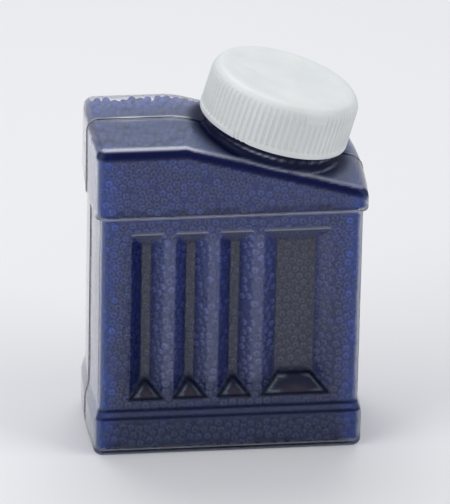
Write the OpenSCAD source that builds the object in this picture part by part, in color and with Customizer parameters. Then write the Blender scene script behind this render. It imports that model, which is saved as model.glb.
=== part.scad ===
// Clear moulded storage bottle with a leaning wide neck, filled with loose drying beads,
// closed by a ribbed screw cap with a loose sealing liner.
// Millimetres, Z up, front towards -Y, origin in the middle of the base.

/* [Body] */
// Width of the head band across its front face
head_width = 100; // [90:0.5:110]
// Width of the middle panel across its front face
panel_width = 96.4; // [86:0.2:106]
// Width of the foot across its front face
foot_width = 99.2; // [88:0.2:109]
// Depth of the head band, front to back
head_depth = 51; // [44:0.5:58]
// Depth of the middle panel, front to back
panel_depth = 49; // [42:0.5:56]
// Depth of the foot, front to back
foot_depth = 50.6; // [43:0.2:57]
// Height of the level part of the top, at its front edge
top_height = 124.5; // [110:0.5:140]
// Height of the lower edge of the head band
head_base = 96.4; // [84:0.2:104]
// Height at which the foot starts to narrow
foot_height = 15.3; // [10:0.1:24]
// Height of the sloped step above the foot
foot_step = 2.9; // [1:0.1:5]
// Outward swell of the side walls at mid depth
side_crown = 1.4; // [0.4:0.1:3]
// Upward swell of the top at mid depth
top_crown = 1.7; // [0.4:0.1:3]
// Rounding of the long front and back edges
edge_radius = 3.3; // [2.4:0.1:5]
// Rounding of the upper outer corners
corner_radius = 4.5; // [2.4:0.1:8]
// Wall thickness
wall = 0.8; // [0.6:0.1:2]
// Thickness of the base
base_thickness = 1.7; // [1.4:0.1:3]

/* [Shoulder] */
// Distance of the shoulder's bend from the middle
bend_x = -17.4; // [-30:0.2:-5]
// Lean of the shoulder and of the neck
lean = 15.7; // [8:0.1:24]

/* [Grip channels] */
// Depth of the channels
channel_depth = 5.6; // [2:0.1:8]
// Width of a narrow channel at its mouth
narrow_mouth = 12.6; // [8:0.1:14]
// Width of a narrow channel at its floor
narrow_floor = 2.9; // [1:0.1:6]
// Spacing of the narrow channels
channel_pitch = 16.3; // [14.4:0.1:20]
// Middle of the first narrow channel
first_channel_x = -30.8; // [-34:0.1:-28]
// Middle of the broad recess
broad_x = 24.4; // [20:0.1:28]
// Width of the broad recess at its mouth
broad_mouth = 25.3; // [18:0.1:30]
// Width of the broad recess at its floor
broad_floor = 13.6; // [8:0.1:18]
// Height of the lower end of the channels
channel_low = 23.4; // [20:0.1:34]
// Height of the upper end of the channels
channel_high = 90.1; // [76:0.1:94]
// Length of the slope at each channel end
channel_end = 6.4; // [3:0.1:10]

/* [Neck] */
// Distance of the neck's foot point from the middle
neck_x = 17.4; // [10:0.1:24]
// Height of the cap's lower rim on the neck axis
rim_height = 121.6; // [110:0.1:134]
// Radius of the plain collar below the cap
collar_radius = 24.7; // [22:0.1:25.2]
// Radius of the neck under the thread
neck_radius = 23.8; // [21:0.1:24.2]
// Radius of the mouth
bore_radius = 22; // [19:0.1:22.5]
// Height of the neck's rim above the cap's lower rim
neck_rise = 16.35; // [14:0.05:18]
// Radius of the thread's crest
thread_radius = 25; // [24.4:0.05:25.2]
// Rise of the thread in one turn
thread_lead = 4.233; // [3:0.001:6]
// Turns of thread
thread_turns = 1.25; // [1:0.25:1.5]

/* [Cap] */
// Radius of the cap's lower band
cap_radius = 28.1; // [27:0.1:30]
// Height of the cap
cap_height = 19.4; // [18.6:0.1:24]
// Radius at the crest of the ribs
rib_radius = 27.9; // [26.8:0.1:29.8]
// Depth of the grooves between ribs
rib_depth = 0.55; // [0.3:0.05:0.8]
// Number of ribs
rib_count = 80; // [40:1:120]
// Height of the smooth band under the ribs
band_height = 2; // [1:0.1:4]
// Rounding of the cap's top edge
cap_edge = 4.5; // [2:0.1:6]
// Inside radius of the cap's skirt
cap_bore = 25.5; // [25.3:0.05:26.4]
// Radius at the crest of the cap's inner thread
cap_thread_radius = 24.4; // [24.25:0.05:24.7]
// Thickness of the cap's top
cap_top = 1.8; // [1.2:0.1:3]
// Depth of the shallow dish in the cap's top
dish_depth = 0.4; // [0.2:0.1:0.8]
// Radius of the shallow dish
dish_radius = 21; // [14:0.5:22]
// Thickness of the liner
liner_thickness = 1.15; // [0.8:0.05:1.5]
// Radius of the liner
liner_radius = 25.1; // [24:0.1:25.3]

/* [Fill] */
// Level of the loose beads
fill_height = 121.4; // [60:0.2:122]
// Gap between the beads and the wall
fill_gap = 0.25; // [0.1:0.05:0.6]

/* [Hidden] */
$fn = 96;
big = 300;
slack = 0.25;
corner_steps = 6;
crown_steps = 12;
foot_round = 2.6;
head_round = 2.2;
bend_round = 12;
push_up = 0.8;
push_margin = 9;
collar_drop = 4.7;
collar_gap = 0.8;
neck_root = 12;
flare = 1.2;
thread_start = 8.4;
thread_base = 1.05;
thread_crest = 0.5;
thread_embed = 0.4;
thread_fade = 16;
thread_step = 7.5;
thread_break = 9;
rib_shy = 0.08;
rib_lap = 0.3;
band_gap_angle = -124.5;
band_gap_width = 6.3;
clear_gap = 0.05;

clear_bottle = [0.86, 0.88, 0.9, 0.3];
bead_blue = [0.07, 0.08, 0.3];
cap_white = [0.9, 0.91, 0.9];
liner_white = [0.94, 0.94, 0.92];

function unit(v) = v / norm(v);
function heading(a, b) = atan2(b[1] - a[1], b[0] - a[0]);
function arc(c, r, a0, a1, n) =
    [for (i = [0:n]) c + r * [cos(a0 + (a1 - a0) * i / n), sin(a0 + (a1 - a0) * i / n)]];
function turn_at(a, b, c) = (heading(b, c) - heading(a, b) + 720) % 360;
function round_centre(a, b, c, r) =
    b + unit(unit(a - b) + unit(c - b)) * r / cos(turn_at(a, b, c) / 2);

// Convex outline, listed anticlockwise, with an arc of radius rs[i] at each point.
module soft_outline(pts, rs) {
    n = len(pts);
    polygon([for (i = [0:n - 1])
        let (a = pts[(i + n - 1) % n], b = pts[i], c = pts[(i + 1) % n], h = heading(a, b) - 90)
        each arc(round_centre(a, b, c, rs[i]), rs[i], h, h + turn_at(a, b, c), corner_steps)]);
}

// Slab that ends in a swell towards +X, with rounded corners; x = 0 is its unswelled end.
module crowned_end(half, rise, r) {
    big_r = (half * half + rise * rise) / (2 * rise);
    xc = rise - big_r;
    cy = half - r;
    cx = xc + sqrt(pow(big_r - r, 2) - cy * cy);
    span = asin(cy / (big_r - r));
    polygon(concat(
        [[-big, half], [-big, -half]],
        arc([cx, -cy], r, -90, -span, corner_steps),
        [for (i = [1:crown_steps - 1])
            let (a = -span + 2 * span * i / crown_steps)
            [xc + big_r * cos(a), big_r * sin(a)]],
        arc([cx, cy], r, span, 90, corner_steps)));
}

// Everything behind a swelled wall; at = [x, z] on its edge, turn = angle of its outward normal from +Z.
module behind_wall(at, turn, half, rise, r) {
    translate([at[0], 0, at[1]])
        rotate([0, turn, 0])
            rotate([0, -90, 0])
                linear_extrude(height = 2 * big, center = true)
                    crowned_end(half, rise, r);
}

module front_outline() {
    rotate([90, 0, 0])
        linear_extrude(height = big, center = true)
            children();
}

module side_outline() {
    rotate([90, 0, 90])
        linear_extrude(height = big, center = true)
            children();
}

// Head band with the level top and the leaning shoulder, inset by w.
module head_form(w) {
    half = head_depth / 2 - w;
    r = edge_radius - w;
    hw = head_width / 2 - w;
    hs = hw + side_crown + slack;
    low = head_base + w;
    top = top_height + top_crown - w + slack;
    drop = tan(lean);
    bend = bend_x - w * tan(lean / 2) + top_crown * tan(lean / 2);
    intersection() {
        behind_wall([-hw, 0], -90, half, side_crown, r);
        behind_wall([hw, 0], 90, half, side_crown, r);
        behind_wall([0, top_height - w], 0, half, top_crown, r);
        behind_wall([bend_x - w * tan(lean / 2), top_height - w], lean, half, top_crown, r);
        front_outline()
            soft_outline(
                [[-hs, low], [hs, low], [hs, top - (hs - bend) * drop], [bend, top], [-hs, top]],
                [head_round, head_round, corner_radius - w, bend_round, corner_radius - w]);
        side_outline()
            soft_outline(
                [[-half - slack, low], [half + slack, low], [half + slack, big], [-half - slack, big]],
                [head_round, head_round, 1, 1]);
    }
}

// Middle panel, inset by w.
module panel_form(w) {
    half = panel_depth / 2 - w;
    hw = panel_width / 2 - w;
    r = edge_radius - 0.3 - w;
    low = foot_height - 3;
    intersection() {
        behind_wall([-hw, 0], -90, half, side_crown, r);
        behind_wall([hw, 0], 90, half, side_crown, r);
        translate([-big / 2, -big / 2, low])
            cube([big, big, head_base + 4 - low]);
    }
}

// Foot with a narrowing step on top, inset by w.
module foot_form(w, floor_z) {
    half = foot_depth / 2 - w;
    hw = foot_width / 2 - w;
    hs = hw + side_crown + slack;
    hd = half + slack;
    r = edge_radius - w;
    step_x = (foot_width - panel_width) / 2;
    step_y = (foot_depth - panel_depth) / 2;
    z1 = foot_height - 0.4 * w;
    lap = 1.15;
    z2 = z1 + foot_step * lap;
    top_y = hd - slack - step_y * lap;
    slant = atan2(step_x, foot_step);
    intersection() {
        behind_wall([-hw, 0], -90, half, side_crown, r);
        behind_wall([hw, 0], 90, half, side_crown, r);
        behind_wall([-hw, z1], -90 + slant, half, side_crown, r);
        behind_wall([hw, z1], 90 - slant, half, side_crown, r);
        front_outline()
            soft_outline(
                [[-hs, floor_z], [hs, floor_z], [hs, z2], [-hs, z2]],
                [foot_round, foot_round, 0.2, 0.2]);
        side_outline()
            soft_outline(
                [[-hd, floor_z], [hd, floor_z], [hd, z1], [top_y, z2], [-top_y, z2], [-hd, z1]],
                [foot_round, foot_round, 0.6, 0.2, 0.2, 0.6]);
    }
}

// One channel cut from the front, grown by w; x = middle, mouth and floor = widths.
module channel(x, mouth, floor_w, w) {
    front = panel_depth / 2;
    side = (mouth - floor_w) / 2 / channel_depth;
    grow = w * sqrt(1 + side * side);
    rake = channel_end / channel_depth;
    lift = w * sqrt(1 + rake * rake);
    deep = channel_depth + w;
    out = 6;
    m = mouth / 2 + grow + out * side;
    f = mouth / 2 + grow - deep * side;
    lo = channel_low - lift - out * rake;
    lo_f = channel_low - lift + deep * rake;
    hi = channel_high + lift + out * rake;
    hi_f = channel_high + lift - deep * rake;
    translate([x, -front, 0])
        intersection() {
            linear_extrude(height = 2 * top_height)
                polygon([[-m, -out], [m, -out], [f, deep], [-f, deep]]);
            rotate([90, 0, 90])
                linear_extrude(height = 2 * m, center = true)
                    polygon([[-out, lo], [deep, lo_f], [deep, hi_f], [-out, hi]]);
        }
}

module channels(w) {
    for (m = [0, 1])
        mirror([0, m, 0]) {
            for (i = [0:2])
                channel(first_channel_x + i * channel_pitch, narrow_mouth, narrow_floor, w);
            channel(broad_x, broad_mouth, broad_floor, w);
        }
}

module body_form(w, floor_z) {
    difference() {
        union() {
            head_form(w);
            panel_form(w);
            foot_form(w, floor_z);
        }
        channels(w);
    }
}

module on_neck() {
    translate([neck_x, 0, rim_height])
        rotate([0, lean, 0])
            children();
}

// Thread ridge wound round the Z axis: root and crest radii, and how far it has faded in at its ends.
function thread_ring(a, k, root, crest, z0, dir) =
    let (z = z0 + thread_lead * a / 360,
        top = root + (crest - root) * k,
        foot = root - dir * thread_embed)
    [for (p = [[foot, -thread_base], [top, -thread_crest * k], [top, thread_crest * k], [foot, thread_base]])
        [p[0] * cos(a), p[0] * sin(a), z + p[1]]];
function thread_faces(n, flip) =
    let (side = [for (i = [0:n - 1], j = [0:3])
            let (a = 4 * i + j, b = 4 * i + (j + 1) % 4, c = a + 4, d = b + 4)
            each [[a, b, d], [a, d, c]]],
        ends = [[0, 2, 1], [0, 3, 2], [4 * n, 4 * n + 1, 4 * n + 2], [4 * n, 4 * n + 2, 4 * n + 3]],
        all = concat(side, ends))
    flip ? [for (f = all) [f[0], f[2], f[1]]] : all;

// The thread is interrupted where the two mould halves meet, so it is wound in lengths.
module thread(root, crest, z0) {
    dir = crest > root ? 1 : -1;
    last = 360 * thread_turns;
    for (s = [0:ceil(2 * thread_turns) - 1]) {
        a0 = 180 * s + thread_break;
        a1 = min(180 * (s + 1) - thread_break, last);
        n = ceil((a1 - a0) / thread_step);
        polyhedron(
            points = [for (i = [0:n])
                let (a = a0 + (a1 - a0) * i / n, k = max(0.12, min(1, (a - a0) / thread_fade, (a1 - a) / thread_fade)))
                each thread_ring(a, k, root, crest, z0, dir)],
            faces = thread_faces(n, dir < 0));
    }
}

module neck_solid() {
    on_neck() {
        translate([0, 0, -neck_root])
            cylinder(r = collar_radius, h = neck_root - collar_gap);
        translate([0, 0, -collar_gap - 1])
            cylinder(r = neck_radius, h = neck_rise + collar_gap + 1);
        thread(neck_radius, thread_radius, thread_start);
    }
    intersection() {
        on_neck()
            translate([0, 0, -collar_drop - 3 * flare])
                cylinder(r1 = collar_radius + 2 * flare, r2 = collar_radius, h = 3 * flare);
        translate([-big / 2, -head_depth / 2 + 0.4, 0])
            cube([big, head_depth - 0.8, big]);
    }
}

module bottle() {
    color(clear_bottle)
        difference() {
            union() {
                body_form(0, 0);
                neck_solid();
            }
            body_form(wall, base_thickness);
            on_neck()
                translate([0, 0, -neck_root - 2])
                    cylinder(r = bore_radius, h = neck_root + neck_rise + 4);
            translate([0, 0, -1])
                linear_extrude(height = 1 + push_up)
                    soft_outline(
                        [[-foot_width / 2 + push_margin, -foot_depth / 2 + push_margin],
                         [foot_width / 2 - push_margin, -foot_depth / 2 + push_margin],
                         [foot_width / 2 - push_margin, foot_depth / 2 - push_margin],
                         [-foot_width / 2 + push_margin, foot_depth / 2 - push_margin]],
                        [6, 6, 6, 6]);
        }
}

module bead_bed() {
    inset = wall + fill_gap;
    color(bead_blue)
        intersection() {
            translate([0, 0, -fill_gap])
                body_form(inset, base_thickness + fill_gap);
            translate([-big / 2, -big / 2, 0])
                cube([big, big, fill_height]);
        }
}

module cap_liner() {
    color(liner_white)
        on_neck()
            translate([0, 0, neck_rise + clear_gap])
                cylinder(r = liner_radius, h = liner_thickness);
}

module rib_crown() {
    step = 360 / rib_count;
    root = rib_radius - rib_depth - 0.3;
    crest = rib_radius - rib_shy;
    translate([0, 0, rib_lap])
        linear_extrude(height = cap_height - cap_edge)
            polygon([for (i = [0:rib_count - 1])
                each [for (p = [[0.02, root], [0.24, crest], [0.66, crest], [0.88, root]])
                    [p[1] * cos((i + p[0]) * step), p[1] * sin((i + p[0]) * step)]]]);
}

// Solid outside of the cap: ribbed skirt, smooth lower band, rounded shoulder and flat top.
module cap_outside() {
    shoulder = cap_height - cap_edge;
    rotate_extrude() {
        square([rib_radius - rib_depth, shoulder]);
        square([cap_radius, band_height]);
        translate([0, shoulder])
            square([rib_radius - cap_edge, cap_edge]);
        translate([rib_radius - cap_edge, shoulder])
            intersection() {
                circle(r = cap_edge);
                square(cap_edge);
            }
    }
    rib_crown();
}

module cap() {
    inner_top = cap_height - cap_top;
    color(cap_white)
        on_neck() {
            difference() {
                cap_outside();
                translate([0, 0, -1])
                    cylinder(r = cap_bore, h = inner_top + 1);
                translate([0, 0, cap_height - dish_depth])
                    cylinder(r = dish_radius, h = 2);
                rotate([0, 0, band_gap_angle])
                    translate([rib_radius + 0.02, -band_gap_width / 2, -1])
                        cube([4, band_gap_width, band_height + 1]);
            }
            thread(cap_bore, cap_thread_radius, thread_start - thread_lead / 2);
        }
}

bottle();
bead_bed();
cap_liner();
cap();
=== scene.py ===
import math
import bpy
import numpy as np
from mathutils import Matrix, Vector


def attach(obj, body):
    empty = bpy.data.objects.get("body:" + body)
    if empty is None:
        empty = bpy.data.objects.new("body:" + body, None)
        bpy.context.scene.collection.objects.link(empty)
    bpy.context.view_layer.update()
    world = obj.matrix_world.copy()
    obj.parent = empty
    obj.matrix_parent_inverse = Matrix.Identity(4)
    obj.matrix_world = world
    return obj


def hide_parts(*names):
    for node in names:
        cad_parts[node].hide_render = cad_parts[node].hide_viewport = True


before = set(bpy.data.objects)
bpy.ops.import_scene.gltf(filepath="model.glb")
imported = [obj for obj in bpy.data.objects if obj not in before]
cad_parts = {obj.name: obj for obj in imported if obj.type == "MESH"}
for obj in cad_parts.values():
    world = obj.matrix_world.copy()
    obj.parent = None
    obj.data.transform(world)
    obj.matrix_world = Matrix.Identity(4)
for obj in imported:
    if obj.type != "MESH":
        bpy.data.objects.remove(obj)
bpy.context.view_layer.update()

# A flat clear bottle of dark blue drying beads, with a ribbed screw cap on a neck that leans to one side.
# Shapes are worked out in millimetres, in the frame's axes; mesh_object turns them into metres.
MM = 0.001

# ---------------------------------------------------------------- sizes, in millimetres
# half widths and half depths of the head band, the panel and the foot, and how far their faces bulge
HEAD_W, PANEL_W, FOOT_W = 50.0, 48.2, 49.6
HEAD_D, PANEL_D, FOOT_D = 25.5, 24.5, 25.3
SIDE_CROWN, TOP_CROWN = 1.4, 1.7
# heights of the level top, of the head band's lower edge and of the foot's upper edge, and the foot's step
TOP_Z, HEAD_Z, FOOT_Z, STEP_Z = 124.5, 96.4, 15.3, 2.9
# where the level top turns into the shoulder, and how much the shoulder and the neck on it lean
BEND_X, LEAN = -17.4, math.radians(15.7)
SIN_LEAN, COS_LEAN = math.sin(LEAN), math.cos(LEAN)
WALL, BASE = 0.8, 1.7
SEAM, SEAM_W = 0.4, 0.5
# the middle of the neck's foot, then radii and heights along the neck
NECK = (17.4, 121.6)
COLLAR_R, NECK_R, BORE_R, NECK_TOP = 24.7, 23.8, 22.0, 16.35
THREAD_R, LEAD, THREAD_Z, TURNS = 25.0, 4.233, 8.4, 1.25
# grip channels: middle, width of the mouth, width of the floor; a mouth over WIDE_MOUTH is the thumb's
CHANNELS = [(-30.8, 12.6, 2.9), (-14.5, 12.6, 2.9), (1.8, 12.6, 2.9), (24.4, 25.3, 13.6)]
WIDE_MOUTH = 20.0
CHANNEL_D, CHANNEL_LOW, CHANNEL_HIGH, CHANNEL_RAKE = 5.6, 23.4, 90.1, 6.4
PILLOW = 0.27
# a bead's radius, the height of the fill, and how far the topmost beads stand above it
BEAD_R, FILL_Z, CROWNS = 1.52, 121.4, 1.2


# ---------------------------------------------------------------- distance fields
def both(a, b, r):
    """Intersection whose edge is rounded to r."""
    u, v = np.maximum(a + r, 0), np.maximum(b + r, 0)
    return np.minimum(np.maximum(a, b), -r) + np.sqrt(u * u + v * v)


def either(a, b, r):
    """Union whose inner corner is filleted to r."""
    return -both(-a, -b, r)


def swell(y, rise, half):
    """How far a bulging face stands out at y: most in the middle, where the seam adds the rest."""
    return (rise - SEAM) * (1 - (y / half) ** 2)


def channel(x, y, z, middle, mouth, floor_w):
    """A grip channel as a shape to cut away: leaning side walls, and raked ends, the lower one bulging
    softly.
    """
    rake = CHANNEL_RAKE / CHANNEL_D
    into = PANEL_D - np.abs(y)
    side = (mouth - floor_w) / 2 / CHANNEL_D
    a = (np.abs(x - middle) - (mouth / 2 - into * side)) / math.hypot(1, side)
    half = np.maximum(mouth / 2 - np.clip(into, 0, CHANNEL_D) * side, 1.0)
    off = np.abs(x - middle) / half
    pillow = PILLOW * np.minimum(half, 4.5) * np.clip(1 - off ** (2 if mouth < WIDE_MOUTH else 4), 0, 1)
    below = CHANNEL_LOW + into * rake + pillow - z
    above = z - CHANNEL_HIGH + into * rake
    ends = np.maximum(below, above) / math.hypot(1, rake)
    return both(both(a, ends, 0.3), into - CHANNEL_D, 0.4)


def body(x, y, z):
    """The bottle's outer skin without its neck."""
    ax, ay = np.abs(x), np.abs(y)
    ridge = SEAM * np.exp(-(y / SEAM_W) ** 2) * np.clip((z - 2.0) / 2.0, 0, 1)
    # head band, level top and leaning shoulder
    top = z - TOP_Z - swell(y, TOP_CROWN, HEAD_D)
    lean = (x - BEND_X) * SIN_LEAN + (z - TOP_Z) * COS_LEAN - swell(y, TOP_CROWN, HEAD_D)
    roof = np.maximum(top, lean) + np.maximum(1.2 - np.abs(top - lean), 0) ** 2 / 4.8
    head = both(ax - HEAD_W - swell(y, SIDE_CROWN, HEAD_D), roof, 4.2)
    head = both(head, ay - HEAD_D, 3.0)
    head = both(head, HEAD_Z - z, 1.3)
    # middle panel with its grip channels
    panel = both(ax - PANEL_W - swell(y, SIDE_CROWN, PANEL_D), ay - PANEL_D, 3.0)
    for middle, mouth, floor_w in CHANNELS:
        panel = both(panel, -channel(x, y, z, middle, mouth, floor_w), 0.6)
    panel = np.maximum(panel, np.maximum(z - HEAD_Z - 1.8, FOOT_Z - 3.0 - z))
    # foot with its narrowing step
    foot = both(ax - FOOT_W - swell(y, SIDE_CROWN, FOOT_D), ay - FOOT_D, 3.3)
    k = 1.3 / STEP_Z
    foot = both(foot, (foot + (z - FOOT_Z) * k) / math.hypot(1, k), 1.2)
    foot = both(foot, -z, 2.6)
    foot = np.maximum(foot, z - FOOT_Z - STEP_Z - 1.2)
    shape = either(either(head, panel, 0.8), foot, 0.7)
    pocket = both(both(ax - 40.6, ay - 16.3, 6.0), z - 0.8, 0.4)
    return both(shape, -pocket, 0.6) - ridge


def to_neck(x, y, z):
    """The same point in the neck's own axes, its third along the neck."""
    dx, dz = x - NECK[0], z - NECK[1]
    return dx * COS_LEAN - dz * SIN_LEAN, y, dx * SIN_LEAN + dz * COS_LEAN


def thread_height(turn, z, z0):
    """0 to 1: how high the thread stands at that angle in turns (0 to 1) and height. It is interrupted at
    the two mould lines."""
    base, crest, rest, fade_in = 1.05, 0.5, 9, 16
    best = np.zeros_like(z)
    for k in range(2):
        a = turn + k
        t = np.abs(z - z0 - LEAD * a)
        ridge = np.clip((base - t) / (base - crest), 0, 1)
        gap = np.minimum(np.abs((a * 2) % 1.0), 1 - (a * 2) % 1.0) * 180
        fade = np.clip((gap - rest) / fade_in, 0, 1) * np.clip((TURNS - a) * 360 / fade_in, 0, 1)
        best = np.maximum(best, ridge * fade)
    return best


def outer(x, y, z):
    """Outer skin with collar, neck and thread, closed across the mouth."""
    u, v, w = to_neck(x, y, z)
    r = np.hypot(u, v)
    turn = (np.arctan2(v, u) / (2 * math.pi)) % 1.0
    rise = (THREAD_R - NECK_R) * thread_height(turn, w, THREAD_Z)
    collar = both(both(r - COLLAR_R, w + 0.8, 0.7), -12.0 - w, 1.0)
    neck = both(both(r - NECK_R - rise, w - NECK_TOP, 0.5), -12.0 - w, 1.0)
    return either(either(body(x, y, z), collar, 2.2), neck, 0.5)


def inner(x, y, z):
    """The hollow: the body drawn in by the wall, and the bore."""
    u, v, w = to_neck(x, y, z)
    bore = both(np.hypot(u, v) - BORE_R, np.maximum(-13.0 - w, w - 24.0), 1.0)
    hollow = both(body(x, y, z) + WALL, BASE - z, 1.6)
    return either(hollow, bore, 1.6)


def gradient(f, p, e=0.04):
    """Slope of the field f at each point, by central differences."""
    g = np.empty_like(p)
    for i in range(3):
        d = np.zeros(3)
        d[i] = e
        g[:, i] = (f(*(p + d).T) - f(*(p - d).T)) / (2 * e)
    return g


def settle(f, p, rounds=4):
    """Moves points on to the surface f = 0."""
    for _ in range(rounds):
        g = gradient(f, p)
        p = p - (f(*p.T) / np.maximum((g * g).sum(1), 0.2))[:, None] * g
    return p


def ticks(lo, hi, step, spots=()):
    """Grid lines from lo to hi at about that step, and at finer steps over each spot (a, b, step)."""
    line = [lo]
    for a, b, fine in list(spots) + [(hi, hi, step)]:
        for end, size in ((a, step), (b, fine)):
            n = int(round(max(end - line[-1], 0) / size))
            if end - line[-1] > 0.01:
                n = max(n, 1)
                line += [line[-1] + (end - line[-1]) * (k + 1) / n for k in range(n)]
    return np.array(line)


def creases(reach):
    """The x positions of the channels' upright folds, as spots for ticks."""
    folds = sorted(middle + side * width / 2 for middle, mouth, floor_w in CHANNELS
                   for side in (-1, 1) for width in (mouth, floor_w))
    return [(c - 1.5 * reach, c + 1.5 * reach, reach) for c in folds]


def skin(f, axes):
    """Surface of f = 0 as quads, by surface nets, with its points moved on to f."""
    n = [len(a) for a in axes]
    value = np.empty(n)
    gy, gz = np.meshgrid(axes[1], axes[2], indexing="ij")
    for i, x in enumerate(axes[0]):
        value[i] = f(np.full_like(gy, x), gy, gz)
    # each cell that the surface cuts gets one point, the mean of the cuts on its twelve edges
    neg = value < 0
    cells = [k - 1 for k in n]
    total = np.zeros(cells + [3])
    count = np.zeros(cells)
    for axis in range(3):
        others = [a for a in range(3) if a != axis]
        for i in (0, 1):
            for j in (0, 1):
                s0, s1 = [slice(0, c) for c in cells], [slice(0, c) for c in cells]
                for o, k in zip(others, (i, j)):
                    s0[o] = s1[o] = slice(k, cells[o] + k)
                s0[axis], s1[axis] = slice(0, cells[axis]), slice(1, cells[axis] + 1)
                a, b = value[tuple(s0)], value[tuple(s1)]
                hit = neg[tuple(s0)] != neg[tuple(s1)]
                t = np.where(hit, a / np.where(hit, a - b, 1), 0)
                count += hit
                total[..., axis] += t
                total[..., others[0]] += hit * i
                total[..., others[1]] += hit * j
    used = count > 0
    index = np.full(cells, -1)
    index[used] = np.arange(used.sum())
    where = np.argwhere(used)
    part = total[used] / count[used][:, None]
    points = np.stack([axes[k][where[:, k]] + part[:, k] * (axes[k][where[:, k] + 1] - axes[k][where[:, k]])
                       for k in range(3)], 1)
    # each grid edge that the surface cuts gets one quad, through the points of the four cells round it
    quads = []
    for axis in range(3):
        b, c = (axis + 1) % 3, (axis + 2) % 3
        s0, s1 = [slice(1, k - 1) for k in n], [slice(1, k - 1) for k in n]
        s0[axis], s1[axis] = slice(0, n[axis] - 1), slice(1, n[axis])
        flip = neg[tuple(s0)].astype(int) - neg[tuple(s1)].astype(int)
        at = np.argwhere(flip != 0)
        sign = flip[flip != 0]
        at = at + np.array([0 if a == axis else 1 for a in range(3)])
        ring = []
        for db, dc in ((0, 0), (-1, 0), (-1, -1), (0, -1)):
            q = at.copy()
            q[:, b] += db
            q[:, c] += dc
            ring.append(index[q[:, 0], q[:, 1], q[:, 2]])
        ring = np.stack(ring, 1)
        ring[sign < 0] = ring[sign < 0][:, ::-1]
        quads.append(ring)
    return settle(f, points), np.concatenate(quads)


def closed(q):
    """True when every edge belongs to exactly two faces."""
    edges = np.sort(np.concatenate([q[:, [k, (k + 1) % 4]] for k in range(4)]), axis=1)
    count = np.unique(edges[:, 0] * (q.max() + 1) + edges[:, 1], return_counts=True)[1]
    return bool((count == 2).all())


def even(lo, hi, step):
    """The three axes of an even grid between two corners."""
    return [ticks(a, b, step) for a, b in zip(lo, hi)]


# ---------------------------------------------------------------- mesh helpers
def mesh_object(name, points, faces, smooth=True):
    """An object from points in millimetres and faces of one size each."""
    mesh = bpy.data.meshes.new(name)
    faces = faces if isinstance(faces, list) else [faces]
    sizes = np.concatenate([np.full(len(f), f.shape[1]) for f in faces])
    loops = np.concatenate([f.ravel() for f in faces])
    mesh.vertices.add(len(points))
    mesh.vertices.foreach_set("co", (np.asarray(points) * MM).astype(np.float32).ravel())
    mesh.loops.add(len(loops))
    mesh.loops.foreach_set("vertex_index", loops.astype(np.int32))
    mesh.polygons.add(len(sizes))
    mesh.polygons.foreach_set("loop_start", np.concatenate([[0], np.cumsum(sizes)[:-1]]).astype(np.int32))
    mesh.polygons.foreach_set("use_smooth", np.full(len(sizes), smooth))
    mesh.update(calc_edges=True)
    mesh.validate()
    obj = bpy.data.objects.new(name, mesh)
    bpy.context.collection.objects.link(obj)
    return obj


def points_of(mesh):
    """A mesh's points in millimetres."""
    p = np.empty(len(mesh.vertices) * 3, np.float32)
    mesh.vertices.foreach_get("co", p)
    return p.reshape(-1, 3).astype(float) / MM


# ---------------------------------------------------------------- materials
class Nodes:
    """A small helper to write node trees."""

    def __init__(self, name):
        self.mat = bpy.data.materials.new(name)
        self.mat.use_nodes = True
        self.tree = self.mat.node_tree
        self.tree.nodes.clear()
        self.out = self.add("ShaderNodeOutputMaterial")

    def add(self, kind, inputs=None, **settings):
        """A node with its inputs linked, where they are sockets, or set."""
        node = self.tree.nodes.new(kind)
        for k, v in settings.items():
            setattr(node, k, v)
        for k, v in (inputs or {}).items():
            if isinstance(v, bpy.types.NodeSocket):
                self.tree.links.new(v, node.inputs[k])
            else:
                node.inputs[k].default_value = v
        return node

    def noise(self, scale, detail=3.0, rough=0.5, where=None):
        if where is None:
            where = self.add("ShaderNodeTexCoord").outputs["Object"]
        return self.add("ShaderNodeTexNoise", {"Vector": where, "Scale": scale, "Detail": detail,
                                              "Roughness": rough}).outputs["Fac"]

    def span(self, value, lo, hi, to_lo, to_hi):
        return self.add("ShaderNodeMapRange", {"Value": value, "From Min": lo, "From Max": hi,
                                              "To Min": to_lo, "To Max": to_hi}).outputs["Result"]

    def mix(self, fac, a, b):
        """Blend of two colours, which are a colour mix node's inputs 6 and 7."""
        n = self.add("ShaderNodeMix", data_type="RGBA")
        for k, v in ((0, fac), (6, a), (7, b)):
            if isinstance(v, bpy.types.NodeSocket):
                self.tree.links.new(v, n.inputs[k])
            else:
                n.inputs[k].default_value = v
        return n.outputs[2]

    def bump(self, height, strength, distance):
        return self.add("ShaderNodeBump", {"Height": height, "Strength": strength,
                                          "Distance": distance}).outputs["Normal"]

    def surface(self, shader):
        self.tree.links.new(shader, self.out.inputs["Surface"])
        return self.mat


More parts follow.
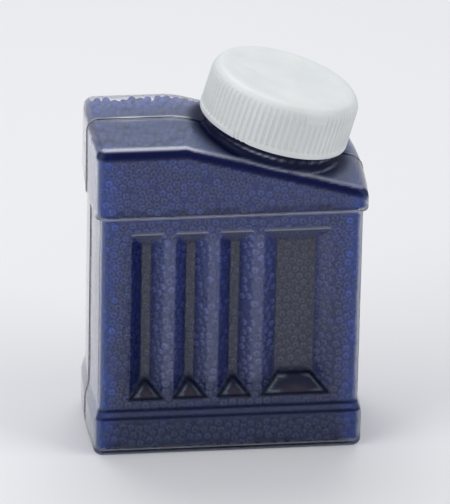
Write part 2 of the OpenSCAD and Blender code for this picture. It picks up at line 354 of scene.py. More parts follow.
def clear_plastic():
    """Clear blown plastic with faint flow lines, under the painted shade, highlights and reflections stored
    at its points; lamps reach what is inside.
    """
    m = Nodes("clear_plastic")
    coord = m.add("ShaderNodeTexCoord").outputs["Object"]
    waves = m.noise(60.0, 2.0, 0.5, coord)
    fine = m.noise(900.0, 3.0, 0.6, coord)
    height = m.add("ShaderNodeMath", {0: waves, 1: m.span(fine, 0, 1, 0, 0.02)}, operation="ADD").outputs[0]
    # stored colours: a tint of painted shade on what is seen through, and painted shading over the plastic,
    # whose alpha adds roughness
    own = m.add("ShaderNodeVertexColor", layer_name="tint")
    painted_shading = m.add("ShaderNodeVertexColor", layer_name="painted_shading")
    rough = m.add("ShaderNodeMath", {0: m.span(fine, 0.3, 0.7, 0.04, 0.1), 1: painted_shading.outputs["Alpha"]},
                  operation="ADD").outputs[0]
    shell = m.add("ShaderNodeBsdfPrincipled", {
        "Base Color": own.outputs["Color"], "Roughness": rough,
        "IOR": 1.31, "Transmission Weight": 1.0,
        "Normal": m.bump(height, 0.35, 0.0006)})
    # light from the lamps and from the beads passes straight through
    clear = m.add("ShaderNodeBsdfTransparent", {"Color": (0.95, 0.96, 0.97, 1)})
    path = m.add("ShaderNodeLightPath")
    passing = m.add("ShaderNodeMath", {0: path.outputs["Is Shadow Ray"], 1: path.outputs["Is Diffuse Ray"]},
                  operation="MAXIMUM").outputs[0]
    # the painted shade, highlights and reflections lie on the plastic as a matt layer, as opaque as the
    # tint's alpha says
    matt = m.add("ShaderNodeBsdfDiffuse", {"Color": painted_shading.outputs["Color"]})
    painted_over = m.add("ShaderNodeMixShader", {0: own.outputs["Alpha"], 1: shell.outputs[0], 2: matt.outputs[0]})
    lit = m.add("ShaderNodeMixShader", {0: passing, 1: painted_over.outputs[0], 2: clear.outputs[0]})
    return m.surface(lit.outputs[0])


def bead_material():
    """Glassy indicating bead: each bead's stored colour with its painted highlight ring and painted light,
    mottled and finely pitted.
    """
    m = Nodes("bead_glass")
    coord = m.add("ShaderNodeTexCoord").outputs["Object"]
    own = m.add("ShaderNodeVertexColor", layer_name="tint").outputs["Color"]
    mottle = m.noise(1100.0, 3.0, 0.6, coord)
    pits = m.noise(2600.0, 2.0, 0.6, coord)
    tint = m.mix(m.span(mottle, 0.35, 0.65, 0.0, 0.35), own, (0.02, 0.03, 0.12, 1))
    bsdf = m.add("ShaderNodeBsdfPrincipled", {
        "Base Color": tint, "Roughness": m.span(pits, 0.3, 0.7, 0.16, 0.32), "IOR": 1.31,
        "Normal": m.bump(pits, 0.2, 0.0001)})
    return m.surface(bsdf.outputs[0])


def cap_material():
    """Off-white moulded plastic, satin, with faint mottling and grain."""
    m = Nodes("cap_plastic")
    coord = m.add("ShaderNodeTexCoord").outputs["Object"]
    cloud = m.noise(70.0, 4.0, 0.55, coord)
    grain = m.noise(2400.0, 2.0, 0.6, coord)
    tint = m.mix(m.span(cloud, 0.3, 0.7, 0, 1), (0.66, 0.69, 0.68, 1), (0.73, 0.76, 0.75, 1))
    bsdf = m.add("ShaderNodeBsdfPrincipled", {
        "Base Color": tint, "Roughness": m.span(grain, 0.3, 0.7, 0.4, 0.55), "IOR": 1.48,
        "Normal": m.bump(grain, 0.25, 0.00008)})
    return m.surface(bsdf.outputs[0])


def liner_material():
    """White foamed liner with a fine open texture."""
    m = Nodes("liner_foam")
    coord = m.add("ShaderNodeTexCoord").outputs["Object"]
    cells = m.add("ShaderNodeTexVoronoi", {"Vector": coord, "Scale": 1800.0}).outputs["Distance"]
    tint = m.mix(m.span(cells, 0, 0.6, 0, 1), (0.78, 0.78, 0.74, 1), (0.9, 0.9, 0.87, 1))
    bsdf = m.add("ShaderNodeBsdfPrincipled", {
        "Base Color": tint, "Roughness": m.span(cells, 0, 0.6, 0.85, 0.65),
        "Normal": m.bump(cells, 0.4, 0.0001)})
    return m.surface(bsdf.outputs[0])


def floor_material():
    """Matt, nearly white ground with a hardly visible cloudiness."""
    m = Nodes("pale_floor")
    cloud = m.noise(1.5, 2.0, 0.5)
    tint = m.mix(cloud, (0.79, 0.79, 0.8, 1), (0.81, 0.81, 0.82, 1))
    bsdf = m.add("ShaderNodeBsdfPrincipled", {
        "Base Color": tint, "Roughness": 0.9, "Specular IOR Level": 0.0})
    return m.surface(bsdf.outputs[0])


# ---------------------------------------------------------------- bottle
def paint(mesh, colour, opacity=None, layer="tint"):
    """Stores one colour per point, for a material to read, with an opacity in its alpha."""
    made = mesh.color_attributes.new(layer, "FLOAT_COLOR", "POINT")
    opacity = np.ones(len(colour)) if opacity is None else opacity
    full = np.concatenate([colour, opacity[:, None]], 1)
    made.data.foreach_set("color", full.astype(np.float32).ravel())


def smooth_step(t):
    """Eased ramp from 0 to 1."""
    t = np.clip(t, 0, 1)
    return t * t * (3 - 2 * t)


def rise(v, a, b):
    """0 below a, 1 above b, eased in between."""
    return smooth_step((v - a) / (b - a))


def band(v, middle, half):
    """1 in the middle, fading out on both sides."""
    return np.exp(-((v - middle) / half) ** 2)


# colours of the painted highlights and painted reflections, and the heights that need their own grid step:
# the foot's step, the channels' lower ends, runs and upper ends, and the head band's lower edge
PAINTED_HIGHLIGHT, PAINTED_REFLECTION = (0.6, 0.62, 0.74), (0.75, 0.76, 0.78)
ZONES = [(14.2, 19.0), (22.6, 30.6), (30.6, 82.8), (82.8, 90.9), (95.2, 98.2)]


def channel_end(p):
    """On the sloping lower ends of the channels: how far inside their outline a point is, in mm
    (less than 0 outside), and its place across them from -1 to 1."""
    z = p[:, 2]
    into = np.clip(PANEL_D - np.abs(p[:, 1]), 0, CHANNEL_D)
    level = CHANNEL_LOW + into * CHANNEL_RAKE / CHANNEL_D
    inside, across = np.full(len(p), -9.0), np.zeros(len(p))
    for middle, mouth, floor_w in CHANNELS:
        x = p[:, 0] - middle
        high = CHANNEL_RAKE - (1.1 if mouth < WIDE_MOUTH else 0.2)
        half = mouth / 2 - 0.8 - (z - CHANNEL_LOW) * (mouth - floor_w + 0.6) / 2 / high
        d = np.minimum((half - np.abs(x)) * 0.87, np.minimum(z - CHANNEL_LOW + 0.2, CHANNEL_LOW + high - z))
        d = np.where((np.abs(p[:, 1]) > PANEL_D - CHANNEL_D - 1.5) & (np.abs(z - level) < 2.6), d, -9.0)
        closer = d > inside
        inside[closer] = d[closer]
        across[closer] = (x / np.maximum(half, 0.8))[closer]
    return inside, across


class Wall:
    """The wall's points with the colours stored at them, painted shade, highlights and reflections: a tint
    for what is seen through the wall, and painted shading laid over it, with its opacity."""

    def __init__(self, p, normal):
        self.p, self.normal = p, normal
        self.x, self.y, self.z = p.T
        self.u, self.v, self.w = to_neck(*p.T)
        self.r = np.hypot(self.u, self.v)
        self.tint = np.ones((len(p), 3))
        self.painted_shading = np.tile([0.01, 0.012, 0.03], (len(p), 1))
        self.solid = np.zeros(len(p))

    def mark(self, mask, colour, opacity=0.0, through=True):
        """Lays a painted colour over what is there: in the tint, unless through is off, and in the painted
        shading.
        """
        if through:
            self.tint += mask[:, None] * (np.array(colour) - self.tint)
        if opacity > 0:
            over = mask * opacity
            total = over + self.solid * (1 - over)
            share = np.where(self.solid > 0.02, over / np.maximum(total, 1e-6), mask > 0.01)
            self.painted_shading += share[:, None] * (np.array(colour) - self.painted_shading)
            self.solid = total

    def painted_over(self, mask, colour, opacity):
        """A mark that leaves the view through the wall as it is."""
        self.mark(mask, colour, opacity, False)

    def below_top(self):
        """How far each point is below the outline of the top, and how much it is on the front face."""
        top = np.minimum(TOP_Z, TOP_Z - (self.x - BEND_X) * SIN_LEAN / COS_LEAN)
        return top - self.z, rise(-self.y, 22.0, 22.8)


def mark_channels(wall):
    """Grip channels with painted shade: dark left walls, right walls dark at their foot, and dark slopes at
    the upper ends.
    """
    ay, z, tilt = np.abs(wall.y), wall.z, np.abs(wall.normal[:, 2])
    run = rise(z, 24, 27) * (1 - rise(z, 86, 89)) * rise(ay, 18.2, 18.8) * (1 - rise(tilt, 0.2, 0.45))
    for middle, mouth, floor_w in CHANNELS:
        narrow = mouth < WIDE_MOUTH
        x, lip, foot = wall.x - middle, mouth / 2, floor_w / 2
        left = rise(x, -lip - 0.1, -lip + 0.3) * (1 - rise(x, -foot - 0.35, -foot + 0.05))
        wall.mark(left * run, (0.4, 0.45, 0.72) if narrow else (0.65, 0.68, 0.86))
        right = rise(x, foot + 0.1, foot + 0.5) * (1 - rise(x, foot + 0.5, foot + 2.4))
        wall.mark(right * run, (0.5, 0.52, 0.74) if narrow else (0.85, 0.86, 0.93))
        upper = (1 - rise(np.abs(x), lip - 0.6, lip)) * rise(z, 83.2, 84) * (1 - rise(z, 89.6, 90.2))
        wall.painted_over(upper * rise(tilt, 0.3, 0.5) * rise(ay, 18, 18.6), (0.075, 0.085, 0.15), 0.5)


def mark_channel_ends(wall):
    """The channels' sloping lower ends in painted shade: dark, with a black rim, a warm painted reflection
    and painted highlight lines inside it.
    """
    inside, across = channel_end(wall.p)
    core = rise(inside, 0.2, 0.7)
    tip = 1 - rise(wall.z, CHANNEL_LOW + 1.5, CHANNEL_LOW + 3.6)
    wall.mark(core, (0.5, 0.46, 0.5))
    wall.painted_over(core, (0.022, 0.024, 0.045), 0.5)
    wall.painted_over(core * band(across, 0.05, 0.4) * tip, (0.08, 0.06, 0.065), 0.35)
    wall.mark(band(inside, 0.0, 0.5), (0.003, 0.005, 0.02), 0.85)
    wall.painted_over(band(inside, 1.05, 0.5) * rise(-across, 0.3, 0.6), (0.2, 0.235, 0.29), 0.4)
    wall.painted_over(band(inside, 0.95, 0.3) * rise(across, 0.4, 0.7), (0.26, 0.29, 0.36), 0.24)


def mark_roof_and_collar(wall):
    """The roof with a pale painted reflection, the collar darkened by painted shade under the cap, and
    painted highlights along its rim.
    """
    u, w, r = wall.u, wall.w, wall.r
    above_joint, front = rise(w, -7.8, -7.2), rise(-wall.v, 6, 14)
    roof = rise(wall.normal[:, 2], 0.9, 0.96) * rise(wall.z, 100, 104) * rise(r, 26.5, 29)
    wall.painted_over(roof * (1 - rise(wall.y, 9, 17)), (0.18, 0.21, 0.29), 0.38)
    wall.mark((1 - rise(r, 28, 32.5)) * above_joint * (1 - rise(w, -0.4, 0.4)), (0.008, 0.012, 0.05), 0.66)
    uneven = 0.55 - 0.45 * np.sin(u * 0.23)
    wall.painted_over(band(w, -3.0, 0.28) * (1 - rise(r, 25.3, 26)) * front * uneven, PAINTED_HIGHLIGHT, 0.5)
    wall.painted_over(band(r, 26.6, 0.4) * above_joint * front * rise(u, -4, 10), PAINTED_HIGHLIGHT, 0.3)


def mark_foot_and_top_edge(wall):
    """Painted shade: the foot a little darker, dark lines at both folds of its step, and the dark ridge at
    the top.
    """
    face = rise(np.abs(wall.y), 22, 24)
    wall.painted_over(face * (1 - rise(wall.z, 13, 15)), (0.006, 0.009, 0.03), 0.08)
    folds = np.maximum(band(wall.z, 15.3, 0.42), band(wall.z, 18.4, 0.42))
    wall.mark(folds * face, (0.006, 0.01, 0.05), 0.8)
    down, front = wall.below_top()
    wall.mark(rise(down, 0.5, 0.75) * (1 - rise(down, 3.0, 4.2)) * front, (0.008, 0.012, 0.075), 0.62)


def mark_seam(wall):
    """The mould seam in painted shade: dark, with painted highlight streaks behind it and a pale painted
    highlight line before it on the roof.
    """
    seam = rise(wall.z, 5, 9)
    streaks = np.clip(band(wall.x, -35, 6) + band(wall.x, -17.5, 7), 0, 1)
    upper = seam * rise(wall.z, 100, 112) * rise(wall.r, 29, 32) * (0.25 + 0.75 * streaks)
    wall.mark(band(wall.y, -0.3, 0.3) * seam, (0.01, 0.014, 0.04), 0.8)
    wall.painted_over(band(wall.y, 0.9, 0.6) * upper, (0.9, 0.91, 0.95), 0.9)
    wall.painted_over(band(wall.y, -1.7, 0.5) * upper, PAINTED_HIGHLIGHT, 0.3)


def mark_light_lines(wall):
    """Painted highlights: light lines on the head band's lower edge, the channels' upper ends, the top edge
    and the foot.
    """
    ay, z = np.abs(wall.y), wall.z
    wall.painted_over(band(z, HEAD_Z + 0.35, 0.5) * rise(ay, 23.8, 24.8), PAINTED_HIGHLIGHT, 0.3)
    for middle, mouth, _ in CHANNELS:
        x = np.abs(wall.x - middle)
        line = band(z, CHANNEL_HIGH + 0.1, 0.35) * (1 - rise(x, mouth / 2 - 1.0, mouth / 2 + 0.2))
        wall.painted_over(line * rise(ay, 23, 24), PAINTED_HIGHLIGHT, 0.22)
    # the top edge's painted highlight is brightest over the level part and gives way to a darker blue on the
    # shoulder
    down, front = wall.below_top()
    level = 1 - 0.65 * rise(wall.x, -16, -8)
    wall.painted_over(band(down, 0.05, 0.5) * front * (1 - level), (0.16, 0.19, 0.3), 0.8)
    wall.painted_over(band(down, 0.2, 0.32) * front * level, (0.8, 0.81, 0.9), 0.6)
    wall.painted_over(band(z, 1.1, 0.5) * rise(ay, 22, 24), PAINTED_HIGHLIGHT, 0.35)


def mark_edges(wall):
    """The foot's lower edge in painted shade, the narrow sides in a pale painted reflection, and painted
    reflection and shade on the upright and back edges.
    """
    n, z = wall.normal, wall.z
    wall.painted_over(rise(-n[:, 2], 0.3, 0.65) * (1 - rise(z, 1.5, 2.3)) * (z < 4), (0.07, 0.09, 0.2), 0.65)
    wall.painted_over(rise(np.abs(n[:, 0]), 0.9, 0.97), PAINTED_REFLECTION, 0.1)
    n2 = n * n
    corner = 4 * n2[:, 0] * n2[:, 1] * rise(np.abs(wall.x), 43, 45)
    before = rise(-wall.y, 10, 20)
    wall.painted_over(np.clip(corner, 0, 1) * before, (0.1, 0.13, 0.24), 0.38)
    wall.painted_over(np.clip(corner, 0, 1) * band(z, 16.8, 1.7) * before, (0.008, 0.012, 0.07), 0.75)
    back = np.clip(corner + rise(z, 100, 104) * 4 * n2[:, 1] * n2[:, 2], 0, 1) * rise(wall.y, 18, 22)
    wall.painted_over(back, PAINTED_REFLECTION, 0.45)


def edge_haze(wall):
    """Roughness to add on the rounded outer edges, and nowhere else."""
    n2 = wall.normal * wall.normal
    haze = np.clip(4 * (n2[:, 0] * (n2[:, 1] + n2[:, 2]) + n2[:, 1] * n2[:, 2]), 0, 1)
    ends = np.maximum(rise(np.abs(wall.x), 43, 45), rise(wall.z, 94, 95))
    return 0.3 * (haze * np.maximum(ends, 1 - rise(wall.z, 19, 20)))


def shaded(p, normal):
    """The wall with all its painted shade, highlights and reflections: folds look dark, edges pale. Later
    marks lie over earlier ones.
    """
    wall = Wall(p, normal)
    mark_channels(wall)
    mark_channel_ends(wall)
    mark_roof_and_collar(wall)
    mark_foot_and_top_edge(wall)
    mark_seam(wall)
    mark_light_lines(wall)
    mark_edges(wall)
    return wall


def zones(*steps):
    """Spots for ticks over ZONES, each with its own step."""
    return [(low, high, step) for (low, high), step in zip(ZONES, steps)]


def outer_skin():
    """Outer skin as points and quads. A grid line in an unlucky place leaves it open, so others are tried."""
    across = ticks(-54, 54, 0.75, [(-54, -38, 1.15)] + creases(0.4) + [(38, 54, 1.15)])
    deep = ticks(-29, 29, 1.05, [(-27, -22.8, 0.6), (-1.2, 1.2, 0.4), (22.8, 27, 0.6)])
    for nudge in (0.5, 0.71, 0.6, 0.33, 0.17, 0.9):
        up = ticks(-3, 150 + nudge, 1.1, zones(0.4, 0.5, 2.4, 0.5, 0.33) + [(119, 127 + nudge, 0.7)])
        points, quads = skin(outer, (across, deep, up))
        if closed(quads):
            break
    return points, quads


def inner_skin():
    """The hollow's skin, on a coarser grid."""
    across = ticks(-54, 58, 1.8, creases(0.8))
    deep = ticks(-29, 29, 1.7, [(-1.2, 1.2, 0.8)])
    up = ticks(-3, 153, 1.7, zones(0.8, 0.9, 3.0, 0.9, 0.7))
    return skin(inner, (across, deep, up))


def hollowed(solid, hollow):
    """The solid's mesh with the hollow cut out of it."""
    cut = solid.modifiers.new("hollow", "BOOLEAN")
    cut.operation = "DIFFERENCE"
    cut.solver = "MANIFOLD"
    cut.object = hollow
    bpy.context.view_layer.update()
    made = bpy.data.meshes.new_from_object(solid.evaluated_get(bpy.context.evaluated_depsgraph_get()))
    solid.modifiers.clear()
    if len(made.vertices) < len(solid.data.vertices) + len(hollow.data.vertices) // 2:
        raise RuntimeError("the bottle was not hollowed")
    return made


def bottle():
    shell = mesh_object("bottle_shell", *outer_skin())
    hollow = mesh_object("bottle_hollow", *inner_skin())
    made = hollowed(shell, hollow)
    shell.data = made
    bpy.data.objects.remove(hollow)
    # exact normals, from whichever field a point lies on
    p = points_of(made)
    outside = np.abs(outer(*p.T)) <= np.abs(inner(*p.T))
    normal = np.where(outside[:, None], gradient(outer, p), -gradient(inner, p))
    normal /= np.maximum(np.linalg.norm(normal, axis=1), 1e-6)[:, None]
    made.polygons.foreach_set("use_smooth", np.full(len(made.polygons), True))
    made.normals_split_custom_set_from_vertices(normal.tolist())
    # painted shade, highlights and reflections on the wall, with the edges' added roughness in the second
    # layer's alpha
    wall = shaded(p, normal)
    paint(made, wall.tint, wall.solid)
    paint(made, wall.painted_shading, edge_haze(wall), "painted_shading")
    made.materials.clear()
    made.materials.append(clear_plastic())
    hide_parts("bottle")
    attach(shell, "bottle")
    return shell


# ---------------------------------------------------------------- beads
def ball(rounds):
    """Unit ball: an icosahedron whose triangles are split that many times, as points and triangles."""
    golden = (1 + 5 ** 0.5) / 2
    v = [(-1, golden, 0), (1, golden, 0), (-1, -golden, 0), (1, -golden, 0),
         (0, -1, golden), (0, 1, golden), (0, -1, -golden), (0, 1, -golden),
         (golden, 0, -1), (golden, 0, 1), (-golden, 0, -1), (-golden, 0, 1)]
    v = [Vector(p).normalized() for p in v]

    def joined(a, b):
        return (v[a] - v[b]).length < 1.1

    def outwards(a, b, c):
        return (a, b, c) if (v[b] - v[a]).cross(v[c] - v[a]).dot(v[a]) > 0 else (a, c, b)

    f = [outwards(i, j, k) for i in range(12) for j in range(i + 1, 12) for k in range(j + 1, 12)
         if joined(i, j) and joined(j, k) and joined(i, k)]
    for _ in range(rounds):
        middle, more = {}, []

        def half(a, b):
            key = (min(a, b), max(a, b))
            if key not in middle:
                middle[key] = len(v)
                v.append((v[a] + v[b]).normalized())
            return middle[key]
        for a, b, c in f:
            d, e, h = half(a, b), half(b, c), half(c, a)
            more += [(a, d, h), (d, b, e), (h, e, c), (d, e, h)]
        f = more
    return np.array([tuple(p) for p in v]), np.array(f)


def near_pairs(p, reach):
    """Index pairs of points closer than reach, found by sorting the points into cells of that size."""
    cell = np.floor((p - p.min(0)) / reach).astype(int)
    size = cell.max(0) + 3
    key = ((cell[:, 0] + 1) * size[1] + cell[:, 1] + 1) * size[2] + cell[:, 2] + 1
    order = np.argsort(key, kind="stable")
    sorted_key = key[order]
    left, right = [], []
    for dx in (-1, 0, 1):
        for dy in (-1, 0, 1):
            for dz in (-1, 0, 1):
                other = key + (dx * size[1] + dy) * size[2] + dz
                a = np.searchsorted(sorted_key, other, "left")
                b = np.searchsorted(sorted_key, other, "right")
                for k in range(int((b - a).max())):
                    ok = a + k < b
                    i = np.nonzero(ok)[0]
                    j = order[(a + k)[ok]]
                    keep = i < j
                    left.append(i[keep])
                    right.append(j[keep])
    i, j = np.concatenate(left), np.concatenate(right)
    d = p[i] - p[j]
    close = (d * d).sum(1) < reach * reach
    return i[close], j[close]


def room(x, y, z):
    """Where a bead's middle can be: 0 on the limit, less than 0 inside."""
    hollow = np.maximum(body(x, y, z) + WALL, BASE + 0.4 - z)
    return np.maximum(hollow + BEAD_R + 0.04, z - FILL_Z - CROWNS + BEAD_R)


def layer(rng, rounds):
    """Bead middles spread over the limit of their room: thrown at random, then pushed apart."""
    spacing, packing = 2 * BEAD_R, 0.93
    p, q = skin(room, even((-52, -27, 0), (52, 27, 126), 1.6))
    a, b, c, d = p[q[:, 0]], p[q[:, 1]], p[q[:, 2]], p[q[:, 3]]
    area = 0.5 * np.linalg.norm(np.cross(c - a, d - b), axis=1)
    count = int(area.sum() / (0.866 * spacing ** 2) * packing)
    pick = rng.choice(len(q), count, p=area / area.sum())
    u, v = rng.random((2, count, 1))
    pts = (a[pick] * (1 - u) + b[pick] * u) * (1 - v) + (d[pick] * (1 - u) + c[pick] * u) * v
    for _ in range(rounds):
        i, j = near_pairs(pts, spacing * 1.12)
        gap = pts[i] - pts[j]
        dist = np.maximum(np.linalg.norm(gap, axis=1), 1e-3)
        push = (np.maximum(spacing * 1.12 - dist, 0) * 0.32 / dist)[:, None] * gap
        move = np.zeros_like(pts)
        for axis in range(3):
            move[:, axis] += np.bincount(i, push[:, axis], len(pts))
            move[:, axis] -= np.bincount(j, push[:, axis], len(pts))
        pts = pts + move
        g = gradient(room, pts)
        pts = pts - (room(*pts.T) / np.maximum((g * g).sum(1), 0.5))[:, None] * g
    # of two beads that still overlap too much, one goes
    drop = np.zeros(len(pts), bool)
    for s, t in zip(*near_pairs(pts, spacing * 0.86)):
        if not (drop[s] or drop[t]):
            drop[min(s, t)] = True
    return pts[~drop]


def facing(rng, towards):
    """Rotations that carry +Z to each direction, with a random roll."""
    z = towards / np.maximum(np.linalg.norm(towards, axis=1), 1e-6)[:, None]
    x = np.cross(z, rng.normal(size=z.shape))
    x /= np.maximum(np.linalg.norm(x, axis=1), 1e-6)[:, None]
    return np.stack([x, np.cross(z, x), z], 2)


def bead_tint(p, rng):
    """Colour of the beads: bluer high up, with painted light, bright where light comes in round the upright
    corners.
    """
    ax, ay, z = np.abs(p[:, 0]), np.abs(p[:, 1]), p[:, 2]
    low, high = np.array([0.003, 0.012, 0.066]), np.array([0.009, 0.028, 0.155])
    bright = np.array([0.013, 0.06, 0.36])
    tint = low + (high - low) * rise(z, 12, 112)[:, None]
    # beads behind the grip channels: painted light makes them pale in the ridges, a painted reflection grey
    # behind the floors
    face = rise(ay, 14.5, 16) * rise(z, 26, 31) * (1 - rise(z, 85, 91))
    for middle, mouth, floor_w in CHANNELS:
        behind = (1 - rise(np.abs(p[:, 0] - middle), floor_w / 2 + 0.3, floor_w / 2 + 1.2)) * face
        grey = np.array([0.024, 0.031, 0.062]) if mouth < WIDE_MOUTH else np.array([0.015, 0.021, 0.044])
        tint = tint + (grey - tint) * behind[:, None]
    ridge = np.zeros(len(p))  # the ridges between the channels
    for middle in (-22.65, -6.35, 10.0):
        ridge = np.maximum(ridge, 1 - rise(np.abs(p[:, 0] - middle), 4.9, 6.3))
    tint = tint + (ridge * face)[:, None] * np.array([0.066, 0.069, 0.1])
    # painted light: brighter blue round the upright corners and at the back of the top
    corner = rise(ax, 39, 47.5) * (0.25 + 0.75 * rise(ay, 10, 20))
    corner = np.maximum(corner, rise(z, 111, 119) * rise(p[:, 1], 8, 18))
    corner = (corner * (0.45 + 0.6 * rng.random(len(p))))[:, None]
    return tint + (bright - tint) * np.clip(corner, 0, 1)


def filling(obj, mat):
    """Makes an object part of the bead fill, which stays in the bottle."""
    obj.data.materials.append(mat)
    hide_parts("bead_bed")
    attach(obj, "bottle")


def scatter(name, centres, radii, spin, mat, tint):
    """One piece of many beads: a unit ball at each centre, with a painted highlight ring of pale glints round
    its pole and a painted darker middle.
    """
    v, f = ball(2)
    turned = np.einsum("nij,vj->nvi", spin, v)
    pts = (centres[:, None, :] + turned * radii[:, None, None]).reshape(-1, 3)
    faces = (f[None] + (np.arange(len(centres)) * len(v))[:, None, None]).reshape(-1, 3)
    obj = mesh_object(name, pts, faces)
    # painted highlight: a ring of pale glints round each bead's pole, broken into dots, over a painted darker
    # middle
    polar = np.degrees(np.arccos(np.clip(v[:, 2], -1, 1)))
    glint_dots = 0.6 + 0.4 * np.cos(5 * np.arctan2(v[:, 1], v[:, 0]))
    glint_ring = np.exp(-((polar - 40) / 10) ** 2) * glint_dots
    dimmed_middle = 1 - 0.3 * np.exp(-(polar / 20) ** 2)
    # the painted highlight ring hardly shows on beads seen from above
    ring = (1 - 0.8 * rise(spin[:, 2, 2], 0.4, 0.9))[:, None, None] * np.array([0.11, 0.115, 0.14])
    colour = tint[:, None, :] * dimmed_middle[None, :, None] + glint_ring[None, :, None] * ring
    paint(obj.data, colour.reshape(-1, 3))
    # normals lean to the pole, which flattens the shading of each bead
    lit = 0.35 * turned + 0.65 * spin[:, None, :, 2]
    obj.data.normals_split_custom_set_from_vertices(lit.reshape(-1, 3).tolist())
    filling(obj, mat)


def loosened(pts, rng):
    """Lifts the topmost beads by uneven amounts, as far as each fits under the wall."""
    lift = 1.9 * rng.random(len(pts)) * (pts[:, 2] > FILL_Z + CROWNS - BEAD_R - 0.2)
    for part in (1.0, 0.8, 0.6, 0.4, 0.2, 0.0):
        up = pts + np.array([0, 0, 1]) * (lift * part)[:, None]
        fits = (body(*up.T) + WALL + BEAD_R < 0.02) & (lift > 0)
        pts[fits] = up[fits]
        lift[fits] = 0
    return pts


def shrunk(pts, radii):
    """Radii small enough that no bead pokes into the wall."""
    for d in ball(1)[0]:
        radii = radii - np.maximum(body(*(pts + d * radii[:, None]).T) + WALL + 0.03, 0)
    return radii


def deep_fill(x, y, z):
    """The beads behind the outermost ones, as one mass that fills the gaps between them."""
    return np.maximum(room(x, y, z) - 0.5 * BEAD_R, z - FILL_Z - CROWNS + BEAD_R - 0.2)


def beads():
    rng = np.random.default_rng(7)
    per_piece, smallest, row_height = 600, 1.15, 16
    mat = bead_material()
    pts = layer(rng, 44)
    tint = bead_tint(pts, rng) * (0.65 + 0.7 * rng.random((len(pts), 1)))
    radii = BEAD_R * (0.94 + 0.07 * rng.random(len(pts)))
    pts = loosened(pts, rng)
    radii = shrunk(pts, radii)
    keep = radii > smallest
    pts, tint, radii = pts[keep], tint[keep], radii[keep]
    spin = facing(rng, gradient(room, pts))
    order = np.lexsort((pts[:, 0], np.floor(pts[:, 2] / row_height)))
    for k in range(0, len(pts), per_piece):
        s = order[k:k + per_piece]
        scatter("beads_%d" % (k // per_piece), pts[s], radii[s], spin[s], mat, tint[s])
    grid = (ticks(-52, 52, 0.9), ticks(-27, 27, 0.9), ticks(0, 126, 0.9, [(30.6, 82.8, 1.8)]))
    p, q = skin(deep_fill, grid)
    mass = mesh_object("beads_behind", p, q)
    n = gradient(room, p)
    mass.data.normals_split_custom_set_from_vertices((n / np.linalg.norm(n, axis=1)[:, None]).tolist())
    paint(mass.data, bead_tint(p, rng) * 0.9)
    filling(mass, mat)


# ---------------------------------------------------------------- cap
RIBS, STEPS = 80, 8
RIM_R, SIDE_R, SIDE_TAPER, RIB_D = 28.05, 27.9, 0.12, 0.52
EDGE_R, EDGE_Z, EDGE_ARC = 22.4, 14.4, 5.5
INSIDE_R, UNDER_Z, DISH_Z, CAP_THREAD = 25.5, 17.6, 18.98, 1.1
# the smooth stretch of the tamper band and the moulded tab, in degrees round the cap
BARE_FROM, BARE_TO, TAB_FROM, TAB_TO = -131.0, -117.5, -81.5, -62.0


def side_r(z):
    return SIDE_R + SIDE_TAPER * (1 - z / EDGE_Z)


def circle(a, r, z):
    """One row of points round the cap's axis; r and z may change with the angle."""
    return np.stack([r * np.cos(a), r * np.sin(a), z + 0 * a], 1)


def cap_outside(a):
    """Rows of the cap's outside from the lower rim up: tamper band, ribs and rounded top edge."""
    deg = (np.degrees(a) + 180) % 360 - 180
    phase = (a * RIBS / (2 * math.pi)) % 1.0
    groove = 1 - smooth_step((0.5 - np.abs(phase - 0.5)) / 0.5 * 1.9 - 0.85)
    smooth = 1 - smooth_step((deg - BARE_FROM) / 0.8) * smooth_step((BARE_TO - deg) / 1.4)
    tab = smooth_step((deg - TAB_FROM) / 1.5) * smooth_step((TAB_TO - deg) / 1.5)
    rows = []
    # the band's rounded lower rim, the band, and the ribs above it
    for z in (0.0, 0.12, 0.4):
        soft = 0.3 - 0.3 * math.sin(math.acos(max(0.0, 1 - z / 0.4)))
        bare = side_r(z) - 0.45 * groove - soft
        rows.append(circle(a, bare + (RIM_R - soft - bare) * smooth, z))
    for z in (0.9, 1.5, 1.8, 2.05, 2.35):
        ring = smooth * (1 - smooth_step((z - 1.8) / 0.5))
        bare = side_r(z) - RIB_D * groove
        rows.append(circle(a, bare + (RIM_R - bare) * ring, z))
    for z in (3.0, 4.5, 7.0, 9.5, 12.0, 13.5, 14.3):
        filled = tab * smooth_step((z - 13.2) / 0.8)
        rows.append(circle(a, side_r(z) - RIB_D * groove * (1 - filled), z))
    # the edge, over which the ribs fade out and the tab stands a little proud
    for t in (0, 5, 10, 15, 20, 26, 33, 40, 47, 54):
        c, s = math.cos(math.radians(t)), math.sin(math.radians(t))
        fade = 1 - smooth_step((t - 14) / 22)
        flap = 0.16 * tab * smooth_step((t - 12) / 12) * smooth_step((56 - t) / 16)
        r = EDGE_R + (EDGE_ARC - RIB_D * groove * fade * (1 - tab)) * c + flap * c
        rows.append(circle(a, r, EDGE_Z + EDGE_ARC * s + flap * s))
    return rows


def cap_top(a):
    """Rows of the top from its rim inwards: a shallow dish, with a slight dent at the back left."""
    rows = []
    rim = [(25.42, 18.93), (25.12, 19.04), (24.7, 19.13), (24.1, 19.18), (23.0, 19.2), (22.0, 19.18),
           (21.2, 19.14), (20.4, 19.05), (19.6, 19.0)]
    for r, z in rim + [(18.4 - 1.2 * k, DISH_Z) for k in range(15)]:
        ripple = 0.03 * np.sin(2 * a + 0.6) * (r / 20) ** 2
        x, y = r * np.cos(a) + 13.5, r * np.sin(a) - 1.7
        dent = -0.3 * band((x * 0.79 - y * 0.61), 0, 6.5) * band((x * 0.61 + y * 0.79), 0, 2.4)
        rows.append(circle(a, r + 0 * a, z + (ripple + dent) * (1 if r < 21 else 0)))
    return rows


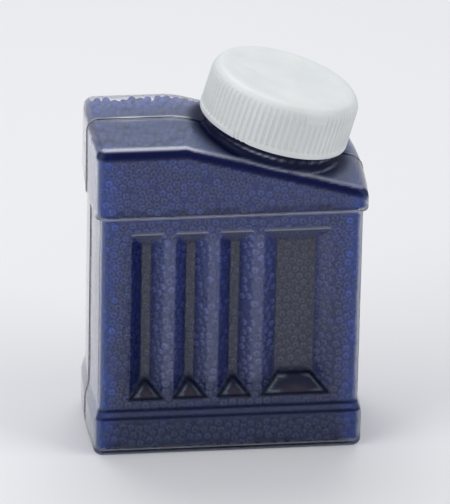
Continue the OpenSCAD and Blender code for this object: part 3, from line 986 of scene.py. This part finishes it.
def cap_inside(a):
    """Rows of the inside from the middle of the top down to the rim, with the thread."""
    ceiling = [(r, UNDER_Z) for r in (1.5, 10.0, 20.0, 25.0)] + [(25.35, 17.5), (INSIDE_R, 17.2)]
    rows = [circle(a, r + 0 * a, z) for r, z in ceiling]
    for z in np.arange(16.6, 0.9, -0.42):
        h = thread_height(a / (2 * math.pi), z + 0 * a, THREAD_Z - LEAD / 2)
        rows.append(circle(a, INSIDE_R - CAP_THREAD * h, z))
    return rows + [circle(a, r + 0 * a, z) for r, z in [(INSIDE_R, 0.5), (25.8, 0.12), (26.2, 0.0)]]


def cap():
    n = RIBS * STEPS
    a = 2 * math.pi * np.arange(n) / n
    above, under = cap_outside(a) + cap_top(a), cap_inside(a)
    peak, total = len(above), len(above) + len(under)
    # quads between rows, round the rim, and fans of triangles to both middle points
    i = np.arange(n)
    j = (i + 1) % n
    quads = [np.stack([k * n + i, k * n + j, (k + 1) * n + j, (k + 1) * n + i], 1)
             for k in range(total - 1) if k != peak - 1]
    quads.append(np.stack([(total - 1) * n + i, (total - 1) * n + j, j, i], 1))
    fans = [np.stack([(peak - 1) * n + i, (peak - 1) * n + j, 0 * i + total * n], 1),
            np.stack([peak * n + j, peak * n + i, 0 * i + total * n + 1], 1)]
    pts = np.concatenate(above + under + [[[0, 0, DISH_Z], [0, 0, UNDER_Z]]])
    x = pts[:, 0] * COS_LEAN + pts[:, 2] * SIN_LEAN + NECK[0]
    z = -pts[:, 0] * SIN_LEAN + pts[:, 2] * COS_LEAN + NECK[1]
    faces = [np.concatenate(quads), np.concatenate(fans)]
    obj = mesh_object("screw_cap", np.stack([x, pts[:, 1], z], 1), faces)
    obj.data.materials.append(cap_material())
    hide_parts("cap")
    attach(obj, "cap")
    return obj


def liner():
    """The CAD's own liner, with a material."""
    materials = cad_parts["cap_liner"].data.materials
    materials.clear()
    materials.append(liner_material())


# ---------------------------------------------------------------- stage
def ground():
    """The floor, just under the bottle."""
    half, drop = 6.0, 0.0002
    mesh = bpy.data.meshes.new("floor")
    corners = [(-half, -half, 0), (half, -half, 0), (half, half, 0), (-half, half, 0)]
    mesh.from_pydata(corners, [], [(0, 1, 2, 3)])
    floor = bpy.data.objects.new("floor", mesh)
    floor.location.z = -drop
    bpy.context.collection.objects.link(floor)
    floor.data.materials.append(floor_material())


def lamp(name, place, aim, size, power, colour=(1, 1, 1)):
    """A rectangular lamp at a place, turned to its aim, both in metres."""
    light = bpy.data.lights.new(name, "AREA")
    light.shape = "RECTANGLE"
    light.size, light.size_y = size
    light.energy = power
    light.color = colour
    obj = bpy.data.objects.new(name, light)
    bpy.context.collection.objects.link(obj)
    obj.location = place
    obj.rotation_euler = (Vector(aim) - Vector(place)).to_track_quat("-Z", "Y").to_euler()
    obj.visible_camera = False


def studio():
    ground()
    world = bpy.data.worlds.new("studio")
    bpy.context.scene.world = world
    world.use_nodes = True
    back = world.node_tree.nodes["Background"]
    back.inputs["Color"].default_value = (0.93, 0.94, 1.0, 1)
    back.inputs["Strength"].default_value = 0.42
    lamp("key_left", (-0.9, -0.35, 0.75), (0, 0, 0.07), (0.9, 0.9), 6.0)
    lamp("top_back", (-0.05, 0.45, 1.0), (0, 0, 0.1), (0.7, 0.55), 4.2)
    lamp("fill_right", (1.1, -0.5, 0.9), (0, 0, 0.1), (0.8, 0.8), 6.6)
    lamp("back_panel", (0.1, 1.6, 0.8), (0, 0, 0.1), (1.8, 1.0), 1.7, (0.9, 0.93, 1.0))


def camera():
    """The photo's camera, solved from the object's outline: its angles in degrees, then in metres."""
    azimuth, elevation, roll = (math.radians(angle) for angle in (7.58, 25.86, 1.20))
    distance, aim = 2.5555, Vector((0.00068, 0.0, 0.0702))
    level = math.cos(elevation)
    back = Vector((-math.sin(azimuth) * level, -math.cos(azimuth) * level, math.sin(elevation)))
    right = Vector((0, 0, 1)).cross(back).normalized()
    up = back.cross(right)
    rolled_right = right * math.cos(roll) + up * math.sin(roll)
    rolled_up = up * math.cos(roll) - right * math.sin(roll)
    cam = bpy.data.cameras.new("camera")
    cam.sensor_width = 36.0
    cam.lens = 494.6
    cam.clip_start, cam.clip_end = 0.1, 50.0
    obj = bpy.data.objects.new("camera", cam)
    bpy.context.collection.objects.link(obj)
    turn = Matrix((rolled_right, rolled_up, back)).transposed()
    obj.matrix_world = Matrix.Translation(aim + back * distance) @ turn.to_4x4()
    bpy.context.scene.camera = obj


camera()
studio()
bottle()
beads()
cap()
liner()

scene = bpy.context.scene
scene.view_settings.view_transform = "Standard"
scene.cycles.max_bounces = 16
scene.cycles.transmission_bounces = 12
scene.cycles.transparent_max_bounces = 16
